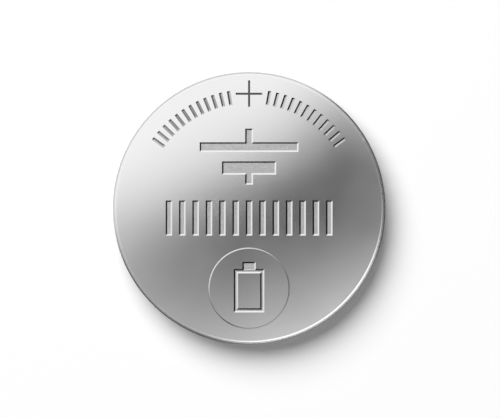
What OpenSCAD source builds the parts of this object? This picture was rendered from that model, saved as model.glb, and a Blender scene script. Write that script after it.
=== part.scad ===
// Lithium coin cell, 30 mm across and 3.2 mm high.
// It lies on its negative cap, as it would come to rest. The origin is the centre of the cap's
// face, +Z is up and +Y is the top of the positive face as it is read from above.

/* [Cell] */
// Overall diameter
cell_d = 30.0; // [28:0.1:34]
// Overall height from face to face
cell_h = 3.2; // [3.0:0.05:4.5]

/* [Positive can] */
// Thickness of the can's sheet
can_sheet = 0.25; // [0.2:0.01:0.3]
// Outside radius of the edge round the positive face
can_edge_r = 0.45; // [0.35:0.01:0.6]
// Angle by which the crimp turns in from the straight wall
crimp_sweep = 75; // [65:1:80]
// Straight lip that follows the crimp's bend
lip_l = 0.35; // [0.25:0.01:0.4]

/* [Negative cap] */
// Thickness of the cap's sheet
cap_sheet = 0.25; // [0.2:0.01:0.3]
// Height of the step from the negative face to the shoulder
cap_step_h = 1.05; // [0.95:0.01:1.25]
// Width of the shoulder, from the step's wall to the skirt
shoulder_w = 1.1; // [1.0:0.01:1.4]
// Outside radius of the edge round the negative face
cap_edge_r = 0.45; // [0.35:0.01:0.55]
// Outside radius where the step's wall turns out into the shoulder
step_bend_r = 0.15; // [0.1:0.01:0.2]
// Outside radius where the shoulder turns up into the skirt
skirt_bend_r = 0.5; // [0.4:0.01:0.6]

/* [Gasket] */
// Thickness of the gasket between the can's wall and the cap's skirt
gasket_wall = 0.35; // [0.3:0.01:0.45]
// Thickness of the gasket between the skirt's rim and the can's floor
gasket_base = 0.45; // [0.35:0.01:0.6]
// Thickness of the gasket's leg inside the skirt
gasket_leg = 0.4; // [0.3:0.01:0.5]
// Height of the leg's free end above the skirt's bend
leg_end_rise = 0.1; // [0.05:0.01:0.3]
// Clearance between parts that are pressed or crimped together
seat_gap = 0.02; // [0.01:0.005:0.03]

/* [Electrodes] */
// Thickness of the lithium disc
lithium_t = 0.6; // [0.4:0.01:0.8]
// Margin between the lithium disc and the edge of the cap's flat floor
lithium_margin = 0.55; // [0.1:0.05:1.5]
// Thickness of the separator
separator_t = 0.15; // [0.1:0.01:0.2]
// Height of the separator's turned up rim
separator_h = 1.3; // [0.8:0.05:1.5]
// Outside radius of the separator's bend
separator_bend_r = 0.3; // [0.25:0.01:0.4]
// Room between the separator's rim and the cap's wall
separator_room = 0.3; // [0.05:0.05:0.6]
// Thickness of the collector ring's sheet
collector_t = 0.15; // [0.1:0.01:0.2]
// Height of the collector ring's wall
collector_h = 1.2; // [0.6:0.05:1.4]
// Width of the collector ring's flange on the can's floor
collector_flange = 1.2; // [0.6:0.05:2.5]
// Chamfer round the cathode pellet
pellet_chamfer = 0.15; // [0.13:0.01:0.3]

/* [Stamped strokes] */
// Depth of the marks below the positive face
mark_depth = 0.12; // [0.04:0.01:0.14]
// Sideways run of the sloping walls of the marks
mark_slope = 0.2; // [0.08:0.01:0.24]
// Least width of a mark's bottom; a stroke too narrow for it has steeper walls
mark_bottom = 0.02; // [0.01:0.01:0.05]

/* [Marks near the edge] */
// Span of the plus sign
plus_span = 2.95; // [2:0.05:3.2]
// Width of the plus sign's strokes
plus_stroke = 0.24; // [0.18:0.01:0.4]
// Distance of the plus sign's centre from the cell's edge
plus_inset = 2.4; // [2.3:0.05:2.8]
// Length of the ticks
tick_l = 1.6; // [1:0.05:2]
// Width of the ticks
tick_w = 0.4; // [0.2:0.01:0.5]
// Distance of the ticks' outer ends from the cell's edge
tick_inset = 1.9; // [1.5:0.05:2.2]
// Number of ticks on each side of the plus sign
tick_count = 12; // [4:1:14]
// Angle between two ticks
tick_pitch = 4; // [3:0.1:5]
// Angle from the plus sign to the first tick
tick_start = 10; // [9:0.5:14]

/* [Cell sign] */
// Share of the spare height that lies between the plus sign and this sign
above_sign = 0.44; // [0.3:0.01:0.5]
// Overall height of the sign with its leads
sign_h = 6.2; // [5.5:0.1:6.4]
// Length of the long plate
long_plate_l = 10.9; // [8:0.1:12]
// Width of the long plate
long_plate_w = 1.1; // [0.8:0.1:1.3]
// Length of the short plate
short_plate_l = 6.0; // [4:0.1:7]
// Width of the short plate
short_plate_w = 1.5; // [1:0.1:1.8]
// Gap between the plates
plate_gap = 1.0; // [0.8:0.1:1.4]
// Width of the leads
lead_w = 0.9; // [0.5:0.1:1.2]

/* [Row of bars] */
// Share of the spare height that lies between the cell sign and this row
above_row = 0.32; // [0.2:0.01:0.4]
// Width of a bar
bar_w = 0.75; // [0.5:0.05:0.85]
// Length of a bar
bar_l = 3.9; // [3:0.1:4]
// Number of bars
bar_count = 13; // [5:1:14]
// Distance from one bar to the next
bar_pitch = 1.47; // [1.2:0.01:1.5]

/* [Ring and battery outline] */
// Diameter of the ring
ring_d = 9.0; // [7.5:0.1:9.4]
// Width of the ring's stroke
ring_stroke = 0.15; // [0.12:0.01:0.3]
// Depth of the ring's stroke below the positive face
ring_depth = 0.08; // [0.04:0.01:0.1]
// Sideways run of the steep wall on the outside of the ring's stroke
ring_steep = 0.02; // [0.01:0.01:0.05]
// Distance of the ring's lowest point from the cell's edge
ring_inset = 1.7; // [1:0.1:2]
// Width of the battery outline
outline_w = 3.4; // [2.5:0.1:4]
// Height of the battery outline without its knob
outline_h = 4.8; // [3.5:0.1:5]
// Width of the outline's stroke
outline_stroke = 0.5; // [0.3:0.05:0.6]
// Width of the knob on the outline
knob_w = 1.5; // [1:0.1:2]
// Height of the knob on the outline
knob_h = 0.55; // [0.3:0.05:0.8]

/* [Hidden] */
$fn = 128;

// Sections are drawn with X as the distance from the cell's axis and Y as the height
can_r = cell_d/2;
can_in_r = can_r - can_sheet;
can_floor_z = cell_h - can_sheet;
skirt_r = can_in_r - gasket_wall;
skirt_in_r = skirt_r - cap_sheet;
skirt_top_z = can_floor_z - gasket_base;
cap_wall_r = skirt_r - shoulder_w;
dish_r = cap_wall_r - cap_sheet;

// The skirt's bend, the gasket and the crimp share one centre, so they nest
closure_r = skirt_r - skirt_bend_r;
closure_z = cap_step_h + skirt_bend_r;
closure = [closure_r, closure_z];
crimp_in_r = skirt_bend_r + gasket_wall;
crimp_r = crimp_in_r + can_sheet;

// The lip laps into the crimp's bend by this much, so that they are one sheet at any size
lip_lap = can_sheet/4;

// Stack of the electrodes, from the cap's floor to the can's
lithium_z = cap_sheet;
separator_z = lithium_z + lithium_t;
pellet_z = separator_z + separator_t;
lithium_r = cap_wall_r - cap_edge_r - lithium_margin;
separator_r = dish_r - separator_room;
collector_r = separator_r - separator_t - seat_gap;
pellet_r = collector_r - collector_t - seat_gap;

// The sign, the row and the ring share the height below the plus sign, and what they leave
// spare is dealt out between them, so that they stay apart on any cell
plus_low = can_r - plus_inset - plus_span/2;
ring_low = ring_inset - can_r;
spare_h = plus_low - ring_low - sign_h - bar_l - ring_d;
sign_y = plus_low - above_sign*spare_h - sign_h/2;
row_y = sign_y - sign_h/2 - above_row*spare_h - bar_l/2;
ring_y = ring_low + ring_d/2;

// Cutters reach this far above the face that they cut
cut_over = 0.5;

// Rectangle of a section, between two radii and two heights
module block_2d(r_from, r_to, z_from, z_to) {
    translate([r_from, z_from]) square([r_to - r_from, z_to - z_from]);
}

// Slice of a disc, up to a right angle wide
module slice_2d(centre, radius, from_deg, to_deg) {
    translate(centre) intersection() {
        circle(r = radius);
        polygon([[0, 0], for (a = [from_deg, (from_deg + to_deg)/2, to_deg])
            2*radius*[cos(a), sin(a)]]);
    }
}

// Section of a sheet that is bent round a centre
module bend_2d(centre, outer_r, sheet, from_deg, to_deg) {
    difference() {
        slice_2d(centre, outer_r, from_deg, to_deg);
        translate(centre) circle(r = outer_r - sheet);
    }
}

// Can: face, edge, wall, crimp and lip, all of one sheet
module can_section() {
    block_2d(0, can_r - can_edge_r, can_floor_z, cell_h);
    bend_2d([can_r - can_edge_r, cell_h - can_edge_r], can_edge_r, can_sheet, 0, 90);
    block_2d(can_in_r, can_r, closure_z, cell_h - can_edge_r);
    bend_2d(closure, crimp_r, can_sheet, -crimp_sweep, 0);
    translate(closure) rotate(-crimp_sweep) {
        block_2d(crimp_in_r, crimp_r, -lip_l, 0);
        block_2d(crimp_in_r + lip_lap, crimp_r - lip_lap, -lip_lap, lip_lap);
    }
}

// Cap: face, edge, step, shoulder and skirt, all of one sheet
module cap_section() {
    step_r = cap_wall_r + step_bend_r;
    step_z = cap_step_h - step_bend_r;
    block_2d(0, cap_wall_r - cap_edge_r, 0, cap_sheet);
    bend_2d([cap_wall_r - cap_edge_r, cap_edge_r], cap_edge_r, cap_sheet, -90, 0);
    block_2d(dish_r, cap_wall_r, cap_edge_r, step_z);
    bend_2d([step_r, step_z], step_bend_r + cap_sheet, cap_sheet, 90, 180);
    block_2d(step_r, closure_r, cap_step_h, cap_step_h + cap_sheet);
    bend_2d(closure, skirt_bend_r, cap_sheet, -90, 0);
    block_2d(skirt_in_r, skirt_r, closure_z, skirt_top_z);
}

// Gasket: a wall against the can, a base on its floor, a leg inside the skirt, and a toe that
// the crimp folds over the cap's shoulder
module gasket_section() {
    outer_r = can_in_r - seat_gap;
    corner_r = can_edge_r - can_sheet + seat_gap;
    corner_z = can_floor_z - corner_r;
    leg_r = skirt_in_r - seat_gap;
    leg_in_r = leg_r - gasket_leg;
    base_z = skirt_top_z + seat_gap;
    block_2d(skirt_r + seat_gap, outer_r, closure_z, corner_z);
    block_2d(leg_in_r, outer_r, base_z, corner_z);
    block_2d(leg_in_r, outer_r - corner_r, base_z, can_floor_z);
    slice_2d([outer_r - corner_r, corner_z], corner_r, 0, 90);
    block_2d(leg_in_r, leg_r, closure_z + leg_end_rise, base_z);
    bend_2d(closure, crimp_in_r - seat_gap, gasket_wall - 2*seat_gap, -90, 0);
    toe_section();
}

// Toe of the gasket. It fills the wedge between the lip and the shoulder, and its rounded end
// reaches the foot of the cap's step.
module toe_section() {
    under_r = crimp_in_r - seat_gap;
    top_z = cap_step_h - seat_gap;
    end_r = cap_wall_r + step_bend_r + seat_gap;
    lip_start = closure + under_r*[cos(crimp_sweep), -sin(crimp_sweep)];
    // The lip falls by this much for each unit of its way inwards
    lip_fall = 1/tan(crimp_sweep);
    round_r = (top_z - lip_start[1] + (lip_start[0] - end_r)*lip_fall)/(2 + lip_fall);
    round_centre = [end_r + round_r, top_z - round_r];
    toe_l = (lip_start[0] - round_centre[0])/sin(crimp_sweep);
    translate(closure) rotate(-crimp_sweep)
        block_2d(skirt_bend_r + seat_gap, under_r, -toe_l, 0);
    block_2d(round_centre[0], closure_r, round_centre[1], top_z);
    translate(round_centre) circle(r = round_r);
}

// Separator: a shallow dish
module separator_section() {
    bend_z = separator_z + separator_bend_r;
    block_2d(0, separator_r - separator_bend_r, separator_z, pellet_z);
    bend_2d([separator_r - separator_bend_r, bend_z], separator_bend_r, separator_t, -90, 0);
    block_2d(separator_r - separator_t, separator_r, bend_z, separator_z + separator_h);
}

// Collector ring: a wall round the pellet and a flange on the can's floor
module collector_section() {
    wall_r = collector_r - collector_t;
    block_2d(wall_r, collector_r, can_floor_z - collector_h, can_floor_z);
    block_2d(wall_r - collector_flange, wall_r, can_floor_z - collector_t, can_floor_z);
}

// Cathode pellet: chamfered below, with a rebate above for the collector ring's flange
module pellet_section() {
    rebate_r = collector_r - collector_t - collector_flange - seat_gap;
    rebate_z = can_floor_z - collector_t;
    polygon([[0, pellet_z], [pellet_r - pellet_chamfer, pellet_z],
        [pellet_r, pellet_z + pellet_chamfer], [pellet_r, rebate_z], [rebate_r, rebate_z],
        [rebate_r, can_floor_z], [0, can_floor_z]]);
}

// Section of a stroke: a trough that narrows towards its bottom
module trough_2d(width) {
    half = width/2;
    run = min(mark_slope, half - mark_bottom/2);
    polygon([[-half, cut_over], [-half, 0], [run - half, -mark_depth], [half - run, -mark_depth],
        [half, 0], [half, cut_over]]);
}

// Section of the ring's stroke, up to the ring's outside: the inner wall slopes down to the foot
// of the steep outer wall, so that the ring reads as the edge of a disc
module ring_2d() {
    polygon([[-ring_stroke, cut_over], [-ring_stroke, 0], [-ring_steep, -ring_depth], [0, 0],
        [0, cut_over]]);
}

// One straight stroke, with all four of its walls sloping
module stroke(width, length) {
    intersection() {
        rotate([90, 0, 0]) linear_extrude(length + cut_over, center = true) trough_2d(width);
        rotate([90, 0, 90]) linear_extrude(width + cut_over, center = true) trough_2d(length);
    }
}

// Plus sign of the positive pole, with an arc of plain ticks on each side
module edge_marks() {
    translate([0, can_r - plus_inset, 0]) {
        stroke(plus_stroke, plus_span);
        stroke(plus_span, plus_stroke);
    }
    for (side = [-1, 1], i = [0:tick_count - 1])
        rotate(side*(tick_start + i*tick_pitch))
            translate([0, can_r - tick_inset - tick_l/2, 0]) stroke(tick_w, tick_l);
}

// Circuit sign of a cell: the long positive plate, the short negative plate and their leads
module cell_sign() {
    lead_l = (sign_h - plate_gap)/2;
    translate([0, sign_y, 0]) {
        translate([0, (plate_gap + long_plate_w)/2, 0]) stroke(long_plate_l, long_plate_w);
        translate([0, -(plate_gap + short_plate_w)/2, 0]) stroke(short_plate_l, short_plate_w);
        for (side = [-1, 1])
            translate([0, side*(plate_gap + lead_l)/2, 0]) stroke(lead_w, lead_l);
    }
}

// Row of plain upright bars
module bar_row() {
    for (i = [0:bar_count - 1])
        translate([(i - (bar_count - 1)/2)*bar_pitch, row_y, 0]) stroke(bar_w, bar_l);
}

// Thin ring with a plain outline of a battery in it
module ring_mark() {
    translate([0, ring_y, 0]) {
        rotate_extrude() translate([ring_d/2, 0]) ring_2d();
        translate([0, -knob_h/2, 0]) {
            for (side = [-1, 1]) {
                translate([side*(outline_w - outline_stroke)/2, 0, 0])
                    stroke(outline_stroke, outline_h);
                translate([0, side*(outline_h - outline_stroke)/2, 0])
                    stroke(outline_w, outline_stroke);
            }
            translate([0, (outline_h + knob_h)/2, 0]) stroke(knob_w, knob_h + outline_stroke);
        }
    }
}

module positive_can() {
    color("silver") difference() {
        rotate_extrude() can_section();
        translate([0, 0, cell_h]) {
            edge_marks();
            cell_sign();
            bar_row();
            ring_mark();
        }
    }
}

module gasket() {
    color("ghostwhite") rotate_extrude() gasket_section();
}

module negative_cap() {
    color("lightgray") rotate_extrude() cap_section();
}

module lithium_anode() {
    color("lightsteelblue") translate([0, 0, lithium_z]) cylinder(r = lithium_r, h = lithium_t);
}

module separator() {
    color("white") rotate_extrude() separator_section();
}

module cathode_pellet() {
    color("dimgray") rotate_extrude() pellet_section();
}

module collector_ring() {
    color("darkgray") rotate_extrude() collector_section();
}

positive_can();
gasket();
negative_cap();
lithium_anode();
separator();
cathode_pellet();
collector_ring();
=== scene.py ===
import math
import bpy
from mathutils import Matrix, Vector


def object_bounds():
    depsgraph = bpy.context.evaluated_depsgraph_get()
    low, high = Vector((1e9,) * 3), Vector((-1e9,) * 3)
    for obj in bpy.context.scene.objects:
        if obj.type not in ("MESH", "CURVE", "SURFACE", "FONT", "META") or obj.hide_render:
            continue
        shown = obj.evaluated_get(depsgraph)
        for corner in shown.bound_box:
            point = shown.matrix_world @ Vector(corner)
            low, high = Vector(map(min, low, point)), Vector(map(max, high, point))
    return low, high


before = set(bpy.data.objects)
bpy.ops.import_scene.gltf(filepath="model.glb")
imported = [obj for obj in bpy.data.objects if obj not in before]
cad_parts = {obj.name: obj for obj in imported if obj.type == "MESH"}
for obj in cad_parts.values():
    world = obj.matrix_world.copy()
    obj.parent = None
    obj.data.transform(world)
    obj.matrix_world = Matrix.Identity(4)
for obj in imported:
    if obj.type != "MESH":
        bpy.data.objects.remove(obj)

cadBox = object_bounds()
mm = 0.001
rimRadius = cadBox[1][0]  # the can's wall is the widest part of the cell
faceZ = cadBox[1][2]  # the positive face is its top
edgeRadius = 0.45 * mm  # of the can's rounded edge


# Small helpers for node trees

def feed(tree, socket, value):
    # A socket takes a link or a fixed value
    if isinstance(value, bpy.types.NodeSocket):
        tree.links.new(value, socket)
    else:
        socket.default_value = value


def addNode(tree, kind, inputs=None, **settings):
    node = tree.nodes.new(kind)
    for name, value in settings.items():
        setattr(node, name, value)
    for name, value in (inputs or {}).items():
        feed(tree, node.inputs[name], value)
    return node


def calc(tree, operation, *values, clamp=False):
    node = addNode(tree, "ShaderNodeMath", dict(enumerate(values)), operation=operation, use_clamp=clamp)
    return node.outputs[0]


def product(tree, first, *others):
    for value in others:
        first = calc(tree, "MULTIPLY", first, value)
    return first


def plus(tree, start, *terms):
    # The start plus each value times its share
    for value, share in terms:
        start = calc(tree, "ADD", start, calc(tree, "MULTIPLY", value, share))
    return start


def centred(tree, value):
    # From 0 to 1 becomes from -0.5 to 0.5
    return calc(tree, "SUBTRACT", value, 0.5)


def vectorCalc(tree, operation, *values, **named):
    node = addNode(tree, "ShaderNodeVectorMath", {**dict(enumerate(values)), **named}, operation=operation)
    return node.outputs["Value" if operation in ("LENGTH", "DOT_PRODUCT") else "Vector"]


def spread(tree, value, low, high, toLow=0.0, toHigh=1.0, smooth=False):
    node = addNode(tree, "ShaderNodeMapRange", {"Value": value, "From Min": low, "From Max": high,
                                                "To Min": toLow, "To Max": toHigh})
    node.interpolation_type = "SMOOTHSTEP" if smooth else "LINEAR"
    return node.outputs[0]


def mixValue(tree, share, first, second):
    return addNode(tree, "ShaderNodeMix", {0: share, 2: first, 3: second}, data_type="FLOAT").outputs[0]


def mixVector(tree, share, first, second):
    return addNode(tree, "ShaderNodeMix", {0: share, 4: first, 5: second}, data_type="VECTOR").outputs[1]


def mixColour(tree, share, first, second):
    return addNode(tree, "ShaderNodeMix", {0: share, 6: first, 7: second}, data_type="RGBA").outputs[2]


def grey(level):
    return (level, level, level, 1.0)


def metalColour(tree, level, blue=1.0):
    # A grey that changes over the surface, with its blue times that value
    bluer = calc(tree, "MULTIPLY", level, blue)
    return addNode(tree, "ShaderNodeCombineColor", {0: level, 1: level, 2: bluer}).outputs[0]


def stretched(tree, vector, size, turn=0.0):
    # Features of that size along X, Y and Z, in millimetres, turned about Z
    turned = addNode(tree, "ShaderNodeVectorRotate", {"Vector": vector, "Angle": turn},
                     rotation_type="Z_AXIS").outputs[0]
    return vectorCalc(tree, "MULTIPLY", turned, [1 / (part * mm) for part in size])


def sized(tree, vector, size):
    # Features of a size in millimetres that is itself a socket
    return vectorCalc(tree, "SCALE", vector, Scale=calc(tree, "DIVIDE", 1 / mm, size))


def noise(tree, vector, detail=2.0, roughness=0.5):
    return addNode(tree, "ShaderNodeTexNoise", {"Vector": vector, "Scale": 1.0, "Detail": detail,
                                                "Roughness": roughness}).outputs[0]


def newGroup(name, inputs, outputs):
    # inputs: name -> (kind, start value), outputs: name -> kind
    group = bpy.data.node_groups.new(name, "ShaderNodeTree")
    for label, (kind, start) in inputs.items():
        socket = group.interface.new_socket(name=label, in_out="INPUT", socket_type="NodeSocket" + kind)
        if start is not None:
            socket.default_value = start
    for label, kind in outputs.items():
        group.interface.new_socket(name=label, in_out="OUTPUT", socket_type="NodeSocket" + kind)
    return group, group.nodes.new("NodeGroupInput").outputs, group.nodes.new("NodeGroupOutput").inputs


def placeGroup(tree, group, **values):
    return addNode(tree, "ShaderNodeGroup", values, node_tree=group).outputs


def startMaterial(name, **constants):
    # A Principled material whose constant values sit on the shader's own sockets
    material = bpy.data.materials.new(name)
    material.use_nodes = True
    tree = material.node_tree
    shader = tree.nodes["Principled BSDF"]
    for socket, value in constants.items():
        shader.inputs[socket.replace("_", " ")].default_value = value
    return material, tree, shader.inputs


def objectPlace(tree):
    return addNode(tree, "ShaderNodeTexCoord").outputs["Object"]


def roundParts(tree, place):
    # Distance from the cell's axis, the level direction away from it, and height
    parts = addNode(tree, "ShaderNodeSeparateXYZ", {0: place}).outputs
    flat = addNode(tree, "ShaderNodeCombineXYZ", {0: parts[0], 1: parts[1]}).outputs[0]
    return vectorCalc(tree, "LENGTH", flat), vectorCalc(tree, "NORMALIZE", flat), parts[2]


def bump(tree, height, direction=None):
    # The height is in millimetres
    node = addNode(tree, "ShaderNodeBump", {"Height": height, "Strength": 1.0, "Distance": mm})
    if direction is not None:
        tree.links.new(direction, node.inputs["Normal"])
    return node.outputs[0]


def dress(nodeName, material):
    # Gives a CAD node its finish
    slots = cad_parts[nodeName].data.materials
    if len(slots) == 0:
        slots.append(material)
    for index in range(len(slots)):
        slots[index] = material


# Effects that more than one finish uses, or the can uses twice; sizes in millimetres

def makeRoundPlace():
    # Distance from the cell's axis, height, and a seamless place on the unit circle
    group, given, out = newGroup("roundPlace", {"Vector": ("Vector", None)},
                                 {"Radius": "Float", "Height": "Float", "Wrapped": "Vector"})
    radius, outward, height = roundParts(group, given["Vector"])
    lift = addNode(group, "ShaderNodeCombineXYZ", {2: height}).outputs[0]
    group.links.new(radius, out["Radius"])
    group.links.new(height, out["Height"])
    group.links.new(vectorCalc(group, "ADD", outward, lift), out["Wrapped"])
    return group


rolled = {"mottle": 0.16, "lineLength": 6.0, "lineWidth": 0.09, "lineTurn": 0.35, "cloud": 4.0}


def makeRolledSheet():
    # Rolled and plated sheet: a fine mottle, long faint rolling lines and broad clouds
    group, given, out = newGroup(
        "rolledSheet",
        {"Vector": ("Vector", None), "Lines": ("Float", 0.5), "Clouds": ("Float", 0.5)},
        {"Tone": "Float", "Height": "Float"})
    mottleSize = [rolled["mottle"]] * 3
    lineSize = (rolled["lineLength"], rolled["lineWidth"], rolled["lineLength"])
    mottle = noise(group, stretched(group, given["Vector"], mottleSize), detail=3.0, roughness=0.6)
    lines = noise(group, stretched(group, given["Vector"], lineSize, rolled["lineTurn"]))
    clouds = noise(group, stretched(group, given["Vector"], [rolled["cloud"]] * 3))
    fine = plus(group, centred(group, mottle), (centred(group, lines), given["Lines"]))
    group.links.new(plus(group, fine, (centred(group, clouds), given["Clouds"])), out["Tone"])
    group.links.new(fine, out["Height"])
    return group


scratches = {
    "strokes": ((0.9, 2.6), (-0.5, 1.7), (2.0, 3.4)),  # each stroke's turn and length
    "width": 0.045, "thinnest": 0.71, "boldest": 0.78, "patch": 3.2, "patchFrom": 0.45, "patchFull": 0.6,
}


def makeHairlines():
    # Short fine scratches from handling, in three directions and in patches
    group, given, out = newGroup("hairlines", {"Vector": ("Vector", None), "Share": ("Float", 0.5)},
                                 {"Mask": "Float"})
    mask = 0.0
    for turn, length in scratches["strokes"]:
        place = stretched(group, given["Vector"], (length, scratches["width"], length), turn)
        stroke = spread(group, noise(group, place, detail=1.0), scratches["thinnest"], scratches["boldest"])
        mask = calc(group, "MAXIMUM", mask, stroke)
    patches = noise(group, stretched(group, given["Vector"], [scratches["patch"]] * 3), detail=1.0)
    seen = spread(group, patches, scratches["patchFrom"], scratches["patchFull"])
    group.links.new(product(group, mask, seen, given["Share"]), out["Mask"])
    return group


touches = {"hazeFrom": 0.4, "hazeFull": 0.72}


def makeHandling():
    # Soft haze where fingers and trays have touched
    group, given, out = newGroup("handling", {"Vector": ("Vector", None), "Size": ("Float", 5.0)},
                                 {"Haze": "Float"})
    broad = noise(group, sized(group, given["Vector"], given["Size"]), detail=3.0, roughness=0.45)
    haze = spread(group, broad, touches["hazeFrom"], touches["hazeFull"], smooth=True)
    group.links.new(haze, out["Haze"])
    return group


def makeGranules():
    # Pressed, moulded or blasted grains: rounded bumps with seams between them
    group, given, out = newGroup("granules", {"Vector": ("Vector", None), "Size": ("Float", 0.1)},
                                 {"Grain": "Float", "Height": "Float"})
    place = sized(group, given["Vector"], given["Size"])
    cells = addNode(group, "ShaderNodeTexVoronoi", {"Vector": place, "Scale": 1.0}).outputs
    loose = noise(group, place, detail=3.0, roughness=0.65)
    grain = addNode(group, "ShaderNodeSeparateXYZ", {0: cells["Color"]}).outputs[0]
    group.links.new(grain, out["Grain"])
    group.links.new(calc(group, "SUBTRACT", loose, cells["Distance"]), out["Height"])
    return group


def makeTurnedBend():
    # The true direction of a round bend turned about the axis, so that no facet shows in the metal.
    # Middle, Level and Bend are its centre's radius and height and its own radius. Side is 1 where
    # it turns up and -1 down, and Straight is how far it holds on the straight wall beside it.
    # A facet may lie this far Inside or Outside the bend
    group, given, out = newGroup(
        "turnedBend",
        {"Vector": ("Vector", None), "Direction": ("Vector", None), "Middle": ("Float", 0.0),
         "Level": ("Float", 0.0), "Bend": ("Float", 0.0), "Side": ("Float", 1.0),
         "Straight": ("Float", 0.0), "Inside": ("Float", 0.0), "Outside": ("Float", 0.0)},
        {"Direction": "Vector"})
    radius, outward, height = roundParts(group, given["Vector"])
    sideways = calc(group, "MAXIMUM", calc(group, "SUBTRACT", radius, given["Middle"]), 0.0)
    rise = product(group, calc(group, "SUBTRACT", height, given["Level"]), given["Side"])
    upwards = product(group, calc(group, "MAXIMUM", rise, 0.0), given["Side"])
    upright = addNode(group, "ShaderNodeCombineXYZ", {2: upwards}).outputs[0]
    fromMiddle = vectorCalc(group, "ADD", vectorCalc(group, "SCALE", outward, Scale=sideways), upright)
    depth = calc(group, "SUBTRACT", given["Bend"], vectorCalc(group, "LENGTH", fromMiddle))
    nearInside = calc(group, "LESS_THAN", depth, given["Inside"])
    nearOutside = calc(group, "GREATER_THAN", calc(group, "ADD", depth, given["Outside"]), 0.0)
    onSide = calc(group, "GREATER_THAN", calc(group, "ADD", rise, given["Straight"]), 0.0)
    onBend = product(group, nearInside, nearOutside, onSide)
    bendDirection = vectorCalc(group, "NORMALIZE", fromMiddle)
    group.links.new(mixVector(group, onBend, given["Direction"], bendDirection), out["Direction"])
    return group


roundPlace = makeRoundPlace()
turnedBend = makeTurnedBend()
rolledSheet = makeRolledSheet()
hairlines = makeHairlines()
handling = makeHandling()
granules = makeGranules()
print("stage: shared effects made")


# Positive can: satin nickel-plated sheet with frosted marks and a drawn wall

canFinish = {
    # Depths and grains of a finish are bare millimetres, and places on the cell are times mm
    "base": 0.745, "roughness": 0.22,
    "lines": 0.7, "clouds": 0.35, "mottleTone": 0.035, "mottleDepth": 0.0007,
    "scratchShare": 0.8, "scratchTone": 0.015, "scratchRoughness": 0.03,
    "hazeSize": 7.0, "hazeRoughness": 0.03,
    # Upright lines from the drawing, past the edge of the face
    "drawnFineness": 150.0, "drawnRoughness": 0.06, "drawnDepth": 0.002,
    "edgeFrom": 14.5 * mm, "edgeFade": 0.3 * mm,
    # The marks' bottoms are frosted by the stamp
    "frostBase": 0.62, "frostRoughness": 0.58, "frostTone": 0.12, "frostDepth": 0.009, "frostGrain": 0.12,
    # In shares of the marks' depth: frosted in full, frosted not at all, and below every mark
    "markDepth": 0.12 * mm, "frostShares": (0.97, 0.85, 1.6), "markReach": 14.3 * mm,
    # The stamp has burnished their sloping walls
    "wallRoughness": 0.11, "wallLow": 0.008 * mm,
    # The walls of the strokes near the edge carry painted shade, a darker colour, the thin crossed ones
    # darkest
    "wallShadeBase": 0.50, "crossedShadeBase": 0.27, "crossedHalf": 1.6 * mm, "wallShadeFrom": 10.4 * mm,
    # The edge's and the crimp's bends: radius, height of the centre, and 1 up or -1 down
    "bends": {"edge": (edgeRadius, faceZ - edgeRadius, 1.0), "crimp": (1.1 * mm, 1.55 * mm, -1.0)},
    "bendStraight": 0.6 * mm, "bendInside": 0.012 * mm, "bendOutside": 0.0012 * mm,
}


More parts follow.
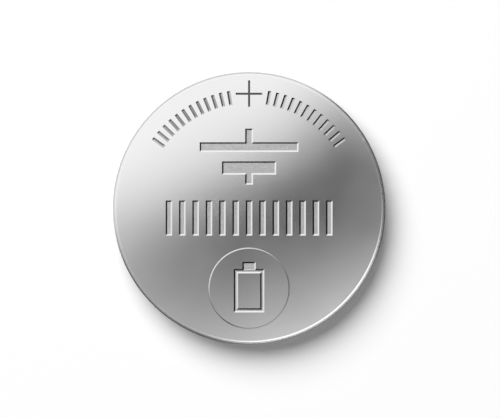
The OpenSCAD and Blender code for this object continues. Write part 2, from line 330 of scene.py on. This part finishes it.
def makeCanSteel():
    given = canFinish
    material, tree, shader = startMaterial("canSteel", Metallic=1.0, Specular_IOR_Level=0.5)
    place = objectPlace(tree)
    x, y = addNode(tree, "ShaderNodeSeparateXYZ", {0: place}).outputs[:2]
    around = placeGroup(tree, roundPlace, Vector=place)
    sheet = placeGroup(tree, rolledSheet, Vector=place, Lines=given["lines"], Clouds=given["clouds"])
    scratch = placeGroup(tree, hairlines, Vector=place, Share=given["scratchShare"])
    touched = placeGroup(tree, handling, Vector=place, Size=given["hazeSize"])
    frost = placeGroup(tree, granules, Vector=place, Size=given["frostGrain"])

    # The marks' bottoms lie below the face and inside the edge
    fullZ, bareZ, lowestZ = [faceZ - given["markDepth"] * share for share in given["frostShares"]]
    deep = spread(tree, around["Height"], fullZ, bareZ, 1.0, 0.0)
    inside = calc(tree, "LESS_THAN", around["Radius"], given["markReach"])
    above = calc(tree, "GREATER_THAN", around["Height"], lowestZ)
    frosted = product(tree, deep, inside, above)

    # The marks' walls, and the painted shade on the walls of the strokes near the edge at the top of the
    # face
    sunk = spread(tree, around["Height"], faceZ - given["wallLow"], faceZ, 1.0, 0.0)
    sunk = product(tree, sunk, above, inside)
    outer = calc(tree, "GREATER_THAN", around["Radius"], given["wallShadeFrom"])
    paintedWallShade = product(tree, sunk, outer, calc(tree, "GREATER_THAN", y, 0.0))
    crossed = calc(tree, "LESS_THAN", calc(tree, "ABSOLUTE", x), given["crossedHalf"])
    wallShadeLevel = mixValue(tree, crossed, given["wallShadeBase"], given["crossedShadeBase"])

    # Upright drawing lines on the wall
    wallPlace = vectorCalc(tree, "SCALE", around["Wrapped"], Scale=given["drawnFineness"])
    onWall = spread(tree, around["Radius"], given["edgeFrom"], given["edgeFrom"] + given["edgeFade"],
                    smooth=True)
    drawn = product(tree, noise(tree, wallPlace, detail=3.0, roughness=0.6), onWall)

    steel = plus(tree, given["base"], (sheet["Tone"], given["mottleTone"]),
                 (scratch["Mask"], -given["scratchTone"]))
    frostLevel = plus(tree, given["frostBase"], (centred(tree, frost["Grain"]), given["frostTone"]))
    # The walls of the strokes near the edge take the painted shade's darker colour in place of the steel's
    level = mixValue(tree, paintedWallShade, mixValue(tree, frosted, steel, frostLevel), wallShadeLevel)
    tree.links.new(metalColour(tree, level), shader["Base Color"])

    satin = plus(tree, given["roughness"], (touched["Haze"], given["hazeRoughness"]),
                 (scratch["Mask"], given["scratchRoughness"]), (drawn, given["drawnRoughness"]))
    satin = mixValue(tree, sunk, satin, given["wallRoughness"])
    tree.links.new(mixValue(tree, frosted, satin, given["frostRoughness"]), shader["Roughness"])

    smooth = plus(tree, 0.0, (sheet["Height"], given["mottleDepth"]), (drawn, given["drawnDepth"]))
    height = mixValue(tree, frosted, smooth, product(tree, frost["Height"], given["frostDepth"]))
    direction = addNode(tree, "ShaderNodeNewGeometry").outputs["Normal"]
    for bend, centreZ, side in given["bends"].values():
        direction = placeGroup(tree, turnedBend, Vector=place, Direction=direction, Middle=rimRadius - bend,
                               Level=centreZ, Bend=bend, Side=side, Straight=given["bendStraight"],
                               Inside=given["bendInside"], Outside=given["bendOutside"])["Direction"]
    tree.links.new(bump(tree, height, direction), shader["Normal"])
    return material


dress("positive_can", makeCanSteel())
print("stage: positive can dressed")


# Negative cap: the same sheet, a little duller, with faint rings from the drawing punch

capFinish = {
    "base": 0.72, "roughness": 0.25, "lines": 0.5, "clouds": 0.6, "mottleTone": 0.05, "mottleDepth": 0.0008,
    "scratchShare": 1.0, "scratchTone": 0.04, "scratchRoughness": 0.06,
    "hazeSize": 6.0, "hazeTone": 0.03, "hazeRoughness": 0.03,
    "ringPitch": 0.20 * mm, "ringDepth": 0.0012, "ringTone": 0.05,
}


def makeCapSteel():
    given = capFinish
    material, tree, shader = startMaterial("capSteel", Metallic=1.0, Specular_IOR_Level=0.5)
    place = objectPlace(tree)
    around = placeGroup(tree, roundPlace, Vector=place)
    sheet = placeGroup(tree, rolledSheet, Vector=place, Lines=given["lines"], Clouds=given["clouds"])
    scratch = placeGroup(tree, hairlines, Vector=place, Share=given["scratchShare"])
    touched = placeGroup(tree, handling, Vector=place, Size=given["hazeSize"])
    ringCount = calc(tree, "DIVIDE", around["Radius"], given["ringPitch"])
    rings = noise(tree, addNode(tree, "ShaderNodeCombineXYZ", {0: ringCount}).outputs[0])
    level = plus(tree, given["base"], (sheet["Tone"], given["mottleTone"]),
                 (scratch["Mask"], -given["scratchTone"]), (touched["Haze"], -given["hazeTone"]),
                 (centred(tree, rings), given["ringTone"]))
    tree.links.new(metalColour(tree, level), shader["Base Color"])
    satin = plus(tree, given["roughness"], (touched["Haze"], given["hazeRoughness"]),
                 (scratch["Mask"], given["scratchRoughness"]))
    tree.links.new(satin, shader["Roughness"])
    height = plus(tree, 0.0, (sheet["Height"], given["mottleDepth"]), (rings, given["ringDepth"]))
    tree.links.new(bump(tree, height), shader["Normal"])
    return material


dress("negative_cap", makeCapSteel())


# Collector ring: thin bright stainless strip

collectorFinish = {
    "base": 0.60, "blue": 1.015, "roughness": 0.32, "lines": 1.2, "clouds": 0.5, "mottleTone": 0.05,
    "mottleDepth": 0.0014, "scratchShare": 0.7, "scratchRoughness": 0.12,
}


def makeCollectorSteel():
    given = collectorFinish
    material, tree, shader = startMaterial("collectorSteel", Metallic=1.0, Specular_IOR_Level=0.5)
    place = objectPlace(tree)
    sheet = placeGroup(tree, rolledSheet, Vector=place, Lines=given["lines"], Clouds=given["clouds"])
    scratch = placeGroup(tree, hairlines, Vector=place, Share=given["scratchShare"])
    level = plus(tree, given["base"], (sheet["Tone"], given["mottleTone"]))
    tree.links.new(metalColour(tree, level, given["blue"]), shader["Base Color"])
    satin = plus(tree, given["roughness"], (scratch["Mask"], given["scratchRoughness"]))
    tree.links.new(satin, shader["Roughness"])
    tree.links.new(bump(tree, product(tree, sheet["Height"], given["mottleDepth"])), shader["Normal"])
    return material


dress("collector_ring", makeCollectorSteel())
print("stage: cap and collector dressed")


# Gasket: natural polypropylene, milky, with a moulded texture

gasketFinish = {
    "pale": (0.84, 0.84, 0.815, 1.0), "shade": (0.76, 0.76, 0.735, 1.0),
    "streakFineness": 9.0, "streakFrom": 0.35, "streakFull": 0.7,
    "roughness": 0.42, "hazeSize": 3.0, "hazeRoughness": 0.1, "grain": 0.12, "grainDepth": 0.0025,
}


def makeGasketPlastic():
    given = gasketFinish
    material, tree, shader = startMaterial("gasketPlastic", IOR=1.49, Subsurface_Weight=0.2,
                                           Subsurface_Scale=0.6 * mm, Specular_IOR_Level=0.5)
    place = objectPlace(tree)
    around = placeGroup(tree, roundPlace, Vector=place)
    skin = placeGroup(tree, granules, Vector=place, Size=given["grain"])
    touched = placeGroup(tree, handling, Vector=place, Size=given["hazeSize"])
    flow = vectorCalc(tree, "SCALE", around["Wrapped"], Scale=given["streakFineness"])
    streaks = spread(tree, noise(tree, flow), given["streakFrom"], given["streakFull"])
    tree.links.new(mixColour(tree, streaks, given["pale"], given["shade"]), shader["Base Color"])
    satin = plus(tree, given["roughness"], (touched["Haze"], given["hazeRoughness"]))
    tree.links.new(satin, shader["Roughness"])
    tree.links.new(bump(tree, product(tree, skin["Height"], given["grainDepth"])), shader["Normal"])
    return material


dress("gasket", makeGasketPlastic())


# Lithium: soft silvery metal, rolled and pressed, with a dull patchy bloom

lithiumFinish = {
    "bright": (0.64, 0.65, 0.67, 1.0), "bloom": (0.42, 0.43, 0.46, 1.0), "hazeBloom": 0.7, "toneBloom": 0.5,
    "lines": 1.6, "clouds": 1.0, "hazeSize": 3.4, "scratchShare": 1.0, "rolledDepth": 0.004,
    "roughness": 0.38, "bloomRoughness": 0.25, "scratchRoughness": 0.1,
}


def makeLithiumMetal():
    given = lithiumFinish
    material, tree, shader = startMaterial("lithiumMetal", Metallic=1.0, Specular_IOR_Level=0.5)
    place = objectPlace(tree)
    sheet = placeGroup(tree, rolledSheet, Vector=place, Lines=given["lines"], Clouds=given["clouds"])
    touched = placeGroup(tree, handling, Vector=place, Size=given["hazeSize"])
    scratch = placeGroup(tree, hairlines, Vector=place, Share=given["scratchShare"])
    bloom = calc(tree, "ADD", product(tree, touched["Haze"], given["hazeBloom"]),
                 product(tree, sheet["Tone"], given["toneBloom"]), clamp=True)
    tree.links.new(mixColour(tree, bloom, given["bright"], given["bloom"]), shader["Base Color"])
    dull = plus(tree, given["roughness"], (bloom, given["bloomRoughness"]),
                (scratch["Mask"], given["scratchRoughness"]))
    tree.links.new(dull, shader["Roughness"])
    tree.links.new(bump(tree, product(tree, sheet["Height"], given["rolledDepth"])), shader["Normal"])
    return material


dress("lithium_anode", makeLithiumMetal())


# Separator: nonwoven fabric of fine fibres laid in all directions

separatorFinish = {
    "fibre": (0.90, 0.90, 0.88, 1.0), "between": (0.66, 0.66, 0.64, 1.0),
    "fibreRoughness": 0.85, "betweenRoughness": 0.95, "fibreDepth": 0.012,
    "fibreSize": (1.1, 0.05, 0.2), "fibreEdge": 0.06, "firstTurn": 0.4, "layers": 5,
    "feltSize": 0.3, "feltShade": 0.75,
}


def makeSeparatorFabric():
    given = separatorFinish
    material, tree, shader = startMaterial("separatorFabric", Specular_IOR_Level=0.25, Sheen_Weight=0.15)
    place = objectPlace(tree)
    webbing = 0.0
    for layer in range(given["layers"]):
        turn = given["firstTurn"] + layer * math.pi / given["layers"]
        strand = noise(tree, stretched(tree, place, given["fibreSize"], turn), detail=1.0)
        offLine = calc(tree, "ABSOLUTE", centred(tree, strand))
        ridge = spread(tree, offLine, 0.0, given["fibreEdge"], 1.0, 0.0)
        webbing = calc(tree, "MAXIMUM", webbing, ridge)
    felt = placeGroup(tree, granules, Vector=place, Size=given["feltSize"])
    share = product(tree, webbing, spread(tree, felt["Grain"], 0.0, 1.0, given["feltShade"], 1.0))
    tree.links.new(mixColour(tree, share, given["between"], given["fibre"]), shader["Base Color"])
    dull = mixValue(tree, webbing, given["betweenRoughness"], given["fibreRoughness"])
    tree.links.new(dull, shader["Roughness"])
    tree.links.new(bump(tree, product(tree, webbing, given["fibreDepth"])), shader["Normal"])
    return material


dress("separator", makeSeparatorFabric())


# Cathode pellet: black pressed powder with graphite glints

pelletFinish = {
    "powder": (0.030, 0.030, 0.033, 1.0), "pale": (0.085, 0.085, 0.09, 1.0),
    "coarse": 0.22, "coarseDepth": 0.01, "coarsePale": 0.35,
    "fine": 0.07, "fineDepth": 0.004, "glintFrom": 0.86, "glintFull": 0.92, "glintPale": 0.5,
    "hazeSize": 4.0, "hazePale": 0.3, "roughness": 0.78, "glintRoughness": 0.4,
}


def makeCathodeMix():
    given = pelletFinish
    material, tree, shader = startMaterial("cathodeMix", Specular_IOR_Level=0.4)
    place = objectPlace(tree)
    coarse = placeGroup(tree, granules, Vector=place, Size=given["coarse"])
    fine = placeGroup(tree, granules, Vector=place, Size=given["fine"])
    touched = placeGroup(tree, handling, Vector=place, Size=given["hazeSize"])
    glint = spread(tree, fine["Grain"], given["glintFrom"], given["glintFull"])
    tint = plus(tree, 0.0, (coarse["Grain"], given["coarsePale"]), (touched["Haze"], given["hazePale"]))
    tint = calc(tree, "ADD", tint, product(tree, glint, given["glintPale"]), clamp=True)
    tree.links.new(mixColour(tree, tint, given["powder"], given["pale"]), shader["Base Color"])
    tree.links.new(plus(tree, given["roughness"], (glint, -given["glintRoughness"])), shader["Roughness"])
    height = plus(tree, 0.0, (coarse["Height"], given["coarseDepth"]), (fine["Height"], given["fineDepth"]))
    tree.links.new(bump(tree, height), shader["Normal"])
    return material


dress("cathode_pellet", makeCathodeMix())
print("stage: gasket and contents dressed")


# Studio: white table, soft key, pale world, and cards that only reflections see

studio = {
    "tableSize": 6.0, "tableWhite": 0.97, "fill": 0.195, "fillBelow": 0.85,
    "keyShare": 1.005, "keySize": 2.75, "keyFar": 3.0, "keyAround": 122.5, "keyUp": 48.5,
}


def makeTable():
    bpy.ops.mesh.primitive_plane_add(size=studio["tableSize"], location=(0, 0, 0))
    table = bpy.context.object
    table.name = "table"
    material, tree, shader = startMaterial("tableWhite", Specular_IOR_Level=0.0, Roughness=1.0)
    shader["Base Color"].default_value = grey(studio["tableWhite"])
    # From below the table is clear, so that the cell's underside can be looked at
    behind = addNode(tree, "ShaderNodeNewGeometry").outputs["Backfacing"]
    clear = addNode(tree, "ShaderNodeBsdfTransparent").outputs[0]
    both = addNode(tree, "ShaderNodeMixShader",
                   {0: behind, 1: tree.nodes["Principled BSDF"].outputs[0], 2: clear}).outputs[0]
    tree.links.new(both, tree.nodes["Material Output"].inputs["Surface"])
    table.data.materials.append(material)
    table.visible_glossy = False
    table.visible_diffuse = False


def aim(thing, spot, target=(0, 0, 0)):
    thing.location = spot
    thing.rotation_mode = "QUATERNION"
    thing.rotation_quaternion = (Vector(target) - Vector(spot)).to_track_quat("-Z", "Y")


def away(around, up, far):
    # A spot in that direction; 0 is along +X and 90 along +Y
    a, e = math.radians(around), math.radians(up)
    return (far * math.cos(a) * math.cos(e), far * math.sin(a) * math.cos(e), far * math.sin(e))


def makeKey():
    # Its energy goes with its distance and slant, so that keyShare is what reaches the table
    far = studio["keyFar"]
    lamp = bpy.data.lights.new("softKey", "AREA")
    lamp.shape = "DISK"
    lamp.size = studio["keySize"]
    lamp.energy = studio["keyShare"] * math.pi ** 2 * far ** 2 / math.sin(math.radians(studio["keyUp"]))
    key = bpy.data.objects.new("softKey", lamp)
    bpy.context.collection.objects.link(key)
    aim(key, away(studio["keyAround"], studio["keyUp"], far))
    key.visible_glossy = False


def makeWorld():
    world = bpy.data.worlds.new("paleRoom")
    bpy.context.scene.world = world
    world.use_nodes = True
    tree = world.node_tree
    paths = addNode(tree, "ShaderNodeLightPath").outputs
    seen = calc(tree, "MAXIMUM", calc(tree, "MAXIMUM", paths["Is Camera Ray"], paths["Is Glossy Ray"]),
                paths["Is Transmission Ray"])
    # Soft light comes from above, and from below for the underside, which the table hides from above
    sky = addNode(tree, "ShaderNodeTexCoord").outputs["Generated"]
    upward = calc(tree, "GREATER_THAN", addNode(tree, "ShaderNodeSeparateXYZ", {0: sky}).outputs[2], 0.0)
    fill = mixValue(tree, upward, studio["fillBelow"], studio["fill"])
    ground = tree.nodes["Background"].inputs
    ground["Color"].default_value = grey(1.0)
    tree.links.new(mixValue(tree, seen, fill, 1.0), ground["Strength"])
    world.cycles.sampling_method = "NONE"


def startCard(name):
    # The active mesh becomes a glowing card
    card = bpy.context.object
    card.name = name
    material = bpy.data.materials.new(name)
    material.use_nodes = True
    material.node_tree.nodes.clear()
    card.data.materials.append(material)
    return card, material.node_tree


def finishCard(card, tree, light, oneSided=False):
    # Reflections see the card, and nothing else does
    surface = addNode(tree, "ShaderNodeEmission", {"Color": grey(1.0), "Strength": light}).outputs[0]
    if oneSided:
        behind = addNode(tree, "ShaderNodeNewGeometry").outputs["Backfacing"]
        clear = addNode(tree, "ShaderNodeBsdfTransparent").outputs[0]
        surface = addNode(tree, "ShaderNodeMixShader", {0: behind, 1: surface, 2: clear}).outputs[0]
    tree.links.new(surface, tree.nodes.new("ShaderNodeOutputMaterial").inputs["Surface"])
    card.visible_camera = False
    card.visible_diffuse = False
    card.visible_shadow = False
    card.visible_transmission = False


def facing(tree, outward, around, half, soft):
    # 1 within half degrees of that direction, fading to 0 over soft more
    toward = vectorCalc(tree, "DOT_PRODUCT", outward, away(around, 0.0, 1.0))
    return spread(tree, toward, math.cos(math.radians(half + soft)), math.cos(math.radians(half)),
                  smooth=True)


surround = {
    "white": 1.2,
    # Direction, half width and softness in degrees, and the brightness there
    "parts": {"right": (15.0, 10.0, 40.0, 0.28), "lowerLeft": (228.0, 10.0, 45.0, 0.48),
              "glow": (304.0, 20.0, 30.0, 1.7)},
    # The tent's darker bands: direction (none is all round), half width and softness, from and to
    # this high in degrees, how far they fade, and the brightness there
    "bands": {"lowerRight": (306.0, 62.0, 24.0, 21.0, 34.0, 3.0, 0.0),
              "skirting": (None, None, None, -6.0, 6.0, 4.0, 0.4)},
}


def roundLight(tree, outward):
    # The light all round, which the rounded edge and the marks' walls mirror
    light = surround["white"]
    for around, half, soft, level in surround["parts"].values():
        light = mixValue(tree, facing(tree, outward, around, half, soft), light, level)
    return light


overhead = {
    "up": 30 * mm, "half": 25 * mm, "cameraUp": 600 * mm,
    # A dark valley runs over the card from the lower left to the right; millimetres on the face
    "valleyLow": -8.46, "valleyRise": 9.7, "valleyMid": -3.0, "valleyRun": 5.58,
    "floor": 0.065, "floorLean": -0.0106, "floorBow": 0.00109,
    # Its two sides rise from the valley to their own light, and the upper one more to the right
    "upper": {"light": 1.108, "reach": 7.97, "power": 2.68}, "upperLean": 0.019,
    "lower": {"light": 0.80, "reach": 12.2, "power": 2.0},
    # It is dimmer round this spot at the upper right
    "cornerX": 10.6, "cornerY": 9.6, "cornerReach": 4.89, "cornerDip": 0.77,
    # Past the face it takes on the light all round, between these two radii
    "faceEnd": 16.5, "roundFrom": 20.5,
}


def fadingFrom(tree, value):
    # 1 at 0, fading out as the value grows
    return calc(tree, "EXPONENT", calc(tree, "MULTIPLY", value, -1.0))


def risingFrom(tree, distance, side):
    # One side of the valley gets brighter with the distance from it
    share = calc(tree, "DIVIDE", calc(tree, "MAXIMUM", distance, 0.0), side["reach"])
    run = calc(tree, "POWER", share, side["power"])
    return product(tree, calc(tree, "SUBTRACT", 1.0, fadingFrom(tree, run)), side["light"])


def makeOverhead():
    given = overhead
    bpy.ops.mesh.primitive_plane_add(size=2 * given["half"], location=(0, 0, faceZ + given["up"]))
    card, tree = startCard("overheadCard")
    place = objectPlace(tree)
    radius, outward = roundParts(tree, place)[:2]
    # The card's place, in millimetres of the face that mirrors it
    toFace = 1 / mm / (1 + given["up"] / given["cameraUp"])
    x, y = [product(tree, part, toFace)
            for part in addNode(tree, "ShaderNodeSeparateXYZ", {0: place}).outputs[:2]]
    lean = calc(tree, "DIVIDE", calc(tree, "SUBTRACT", given["valleyMid"], x), given["valleyRun"])
    bend = calc(tree, "DIVIDE", given["valleyRise"], calc(tree, "ADD", 1.0, calc(tree, "EXPONENT", lean)))
    off = calc(tree, "SUBTRACT", y, calc(tree, "ADD", given["valleyLow"], bend))
    floor = plus(tree, given["floor"], (x, given["floorLean"]), (product(tree, x, x), given["floorBow"]))
    upper = product(tree, risingFrom(tree, off, given["upper"]), plus(tree, 1.0, (x, given["upperLean"])))
    lower = risingFrom(tree, product(tree, off, -1.0), given["lower"])
    across, along = [calc(tree, "DIVIDE", calc(tree, "SUBTRACT", part, middle), given["cornerReach"])
                     for part, middle in ((x, given["cornerX"]), (y, given["cornerY"]))]
    apart = calc(tree, "ADD", product(tree, across, across), product(tree, along, along))
    light = calc(tree, "ADD", floor, calc(tree, "ADD", upper, lower))
    light = plus(tree, light, (fadingFrom(tree, apart), -given["cornerDip"]))
    light = calc(tree, "MAXIMUM", light, 0.0)
    past = spread(tree, product(tree, radius, toFace), given["faceEnd"], given["roundFrom"], smooth=True)
    finishCard(card, tree, mixValue(tree, past, light, roundLight(tree, outward)))


tent = {"far": 150 * mm, "high": 420 * mm, "steps": 96}


def makeTent():
    given = tent
    bpy.ops.mesh.primitive_cylinder_add(radius=given["far"], depth=given["high"], vertices=given["steps"],
                                        end_fill_type="NOTHING", location=(0, 0, given["high"] / 2))
    card, tree = startCard("roundTent")
    outward, fromMiddle = roundParts(tree, objectPlace(tree))[1:]
    height = calc(tree, "ADD", fromMiddle, given["high"] / 2)
    light = roundLight(tree, outward)
    for around, half, soft, low, high, fade, level in surround["bands"].values():
        edges = [given["far"] * math.tan(math.radians(up)) for up in (low - fade, low, high, high + fade)]
        band = product(tree, spread(tree, height, edges[0], edges[1], smooth=True),
                       spread(tree, height, edges[2], edges[3], 1.0, 0.0, smooth=True))
        if around is not None:
            band = product(tree, band, facing(tree, outward, around, half, soft))
        light = mixValue(tree, band, light, level)
    finishCard(card, tree, light)


apron = {
    "high": 0.02 * mm, "inner": 15.3 * mm, "outer": 150 * mm, "steps": 96, "dark": 0.07,
    # Direction, half width and softness in degrees, and the brightness there
    "parts": {"upperLeft": (126.0, 57.0, 24.0, 0.84), "lowerRight": (300.0, 20.0, 30.0, 0.27)},
}


def makeApron():
    # What the edge's underside mirrors: pale at the upper left, dark elsewhere
    given = apron
    count = given["steps"]
    turns = [360 * step / count for step in range(count)]
    spots = [Vector(away(turn, 0.0, reach)) + Vector((0, 0, given["high"]))
             for reach in (given["inner"], given["outer"]) for turn in turns]
    faces = [(step, count + step, count + (step + 1) % count, (step + 1) % count) for step in range(count)]
    ring = bpy.data.meshes.new("darkApron")
    ring.from_pydata(spots, [], faces)
    sheet = bpy.data.objects.new("darkApron", ring)
    bpy.context.collection.objects.link(sheet)
    bpy.context.view_layer.objects.active = sheet
    card, tree = startCard("darkApron")
    outward = roundParts(tree, objectPlace(tree))[1]
    light = given["dark"]
    for around, half, soft, level in given["parts"].values():
        light = mixValue(tree, facing(tree, outward, around, half, soft), light, level)
    finishCard(card, tree, light, oneSided=True)


under = {"down": 30 * mm, "half": 60 * mm, "reach": 34 * mm, "bright": 1.0, "dark": 0.35, "lean": 0.6}


def makeUnder():
    # A card below, which only the underside mirrors
    given = under
    bpy.ops.mesh.primitive_plane_add(size=2 * given["half"], location=(0, 0, -given["down"]))
    card, tree = startCard("underCard")
    x, y = addNode(tree, "ShaderNodeSeparateXYZ", {0: objectPlace(tree)}).outputs[:2]
    along = plus(tree, x, (y, given["lean"]))
    light = spread(tree, along, -given["reach"], given["reach"], given["bright"], given["dark"], smooth=True)
    finishCard(card, tree, light)


makeTable()
makeKey()
makeWorld()
makeOverhead()
makeTent()
makeApron()
makeUnder()
print("stage: studio lit")


# Camera: straight above, through a long lens

shot = {
    "up": overhead["cameraUp"], "rimZ": faceZ - edgeRadius, "acrossFrame": 55.03 * mm,
    "x": 0.099 * mm, "y": -0.077 * mm, "sensor": 36.0, "nearest": 0.01, "farthest": 10.0,
}

lens = bpy.data.cameras.new("aboveCamera")
lens.sensor_width = shot["sensor"]
lens.lens = shot["sensor"] * shot["up"] / shot["acrossFrame"]
lens.clip_start = shot["nearest"]
lens.clip_end = shot["farthest"]
camera = bpy.data.objects.new("aboveCamera", lens)
bpy.context.collection.objects.link(camera)
camera.location = (shot["x"], shot["y"], shot["rimZ"] + shot["up"])
bpy.context.scene.camera = camera
bpy.context.scene.view_settings.view_transform = "Standard"
print("stage: camera set")
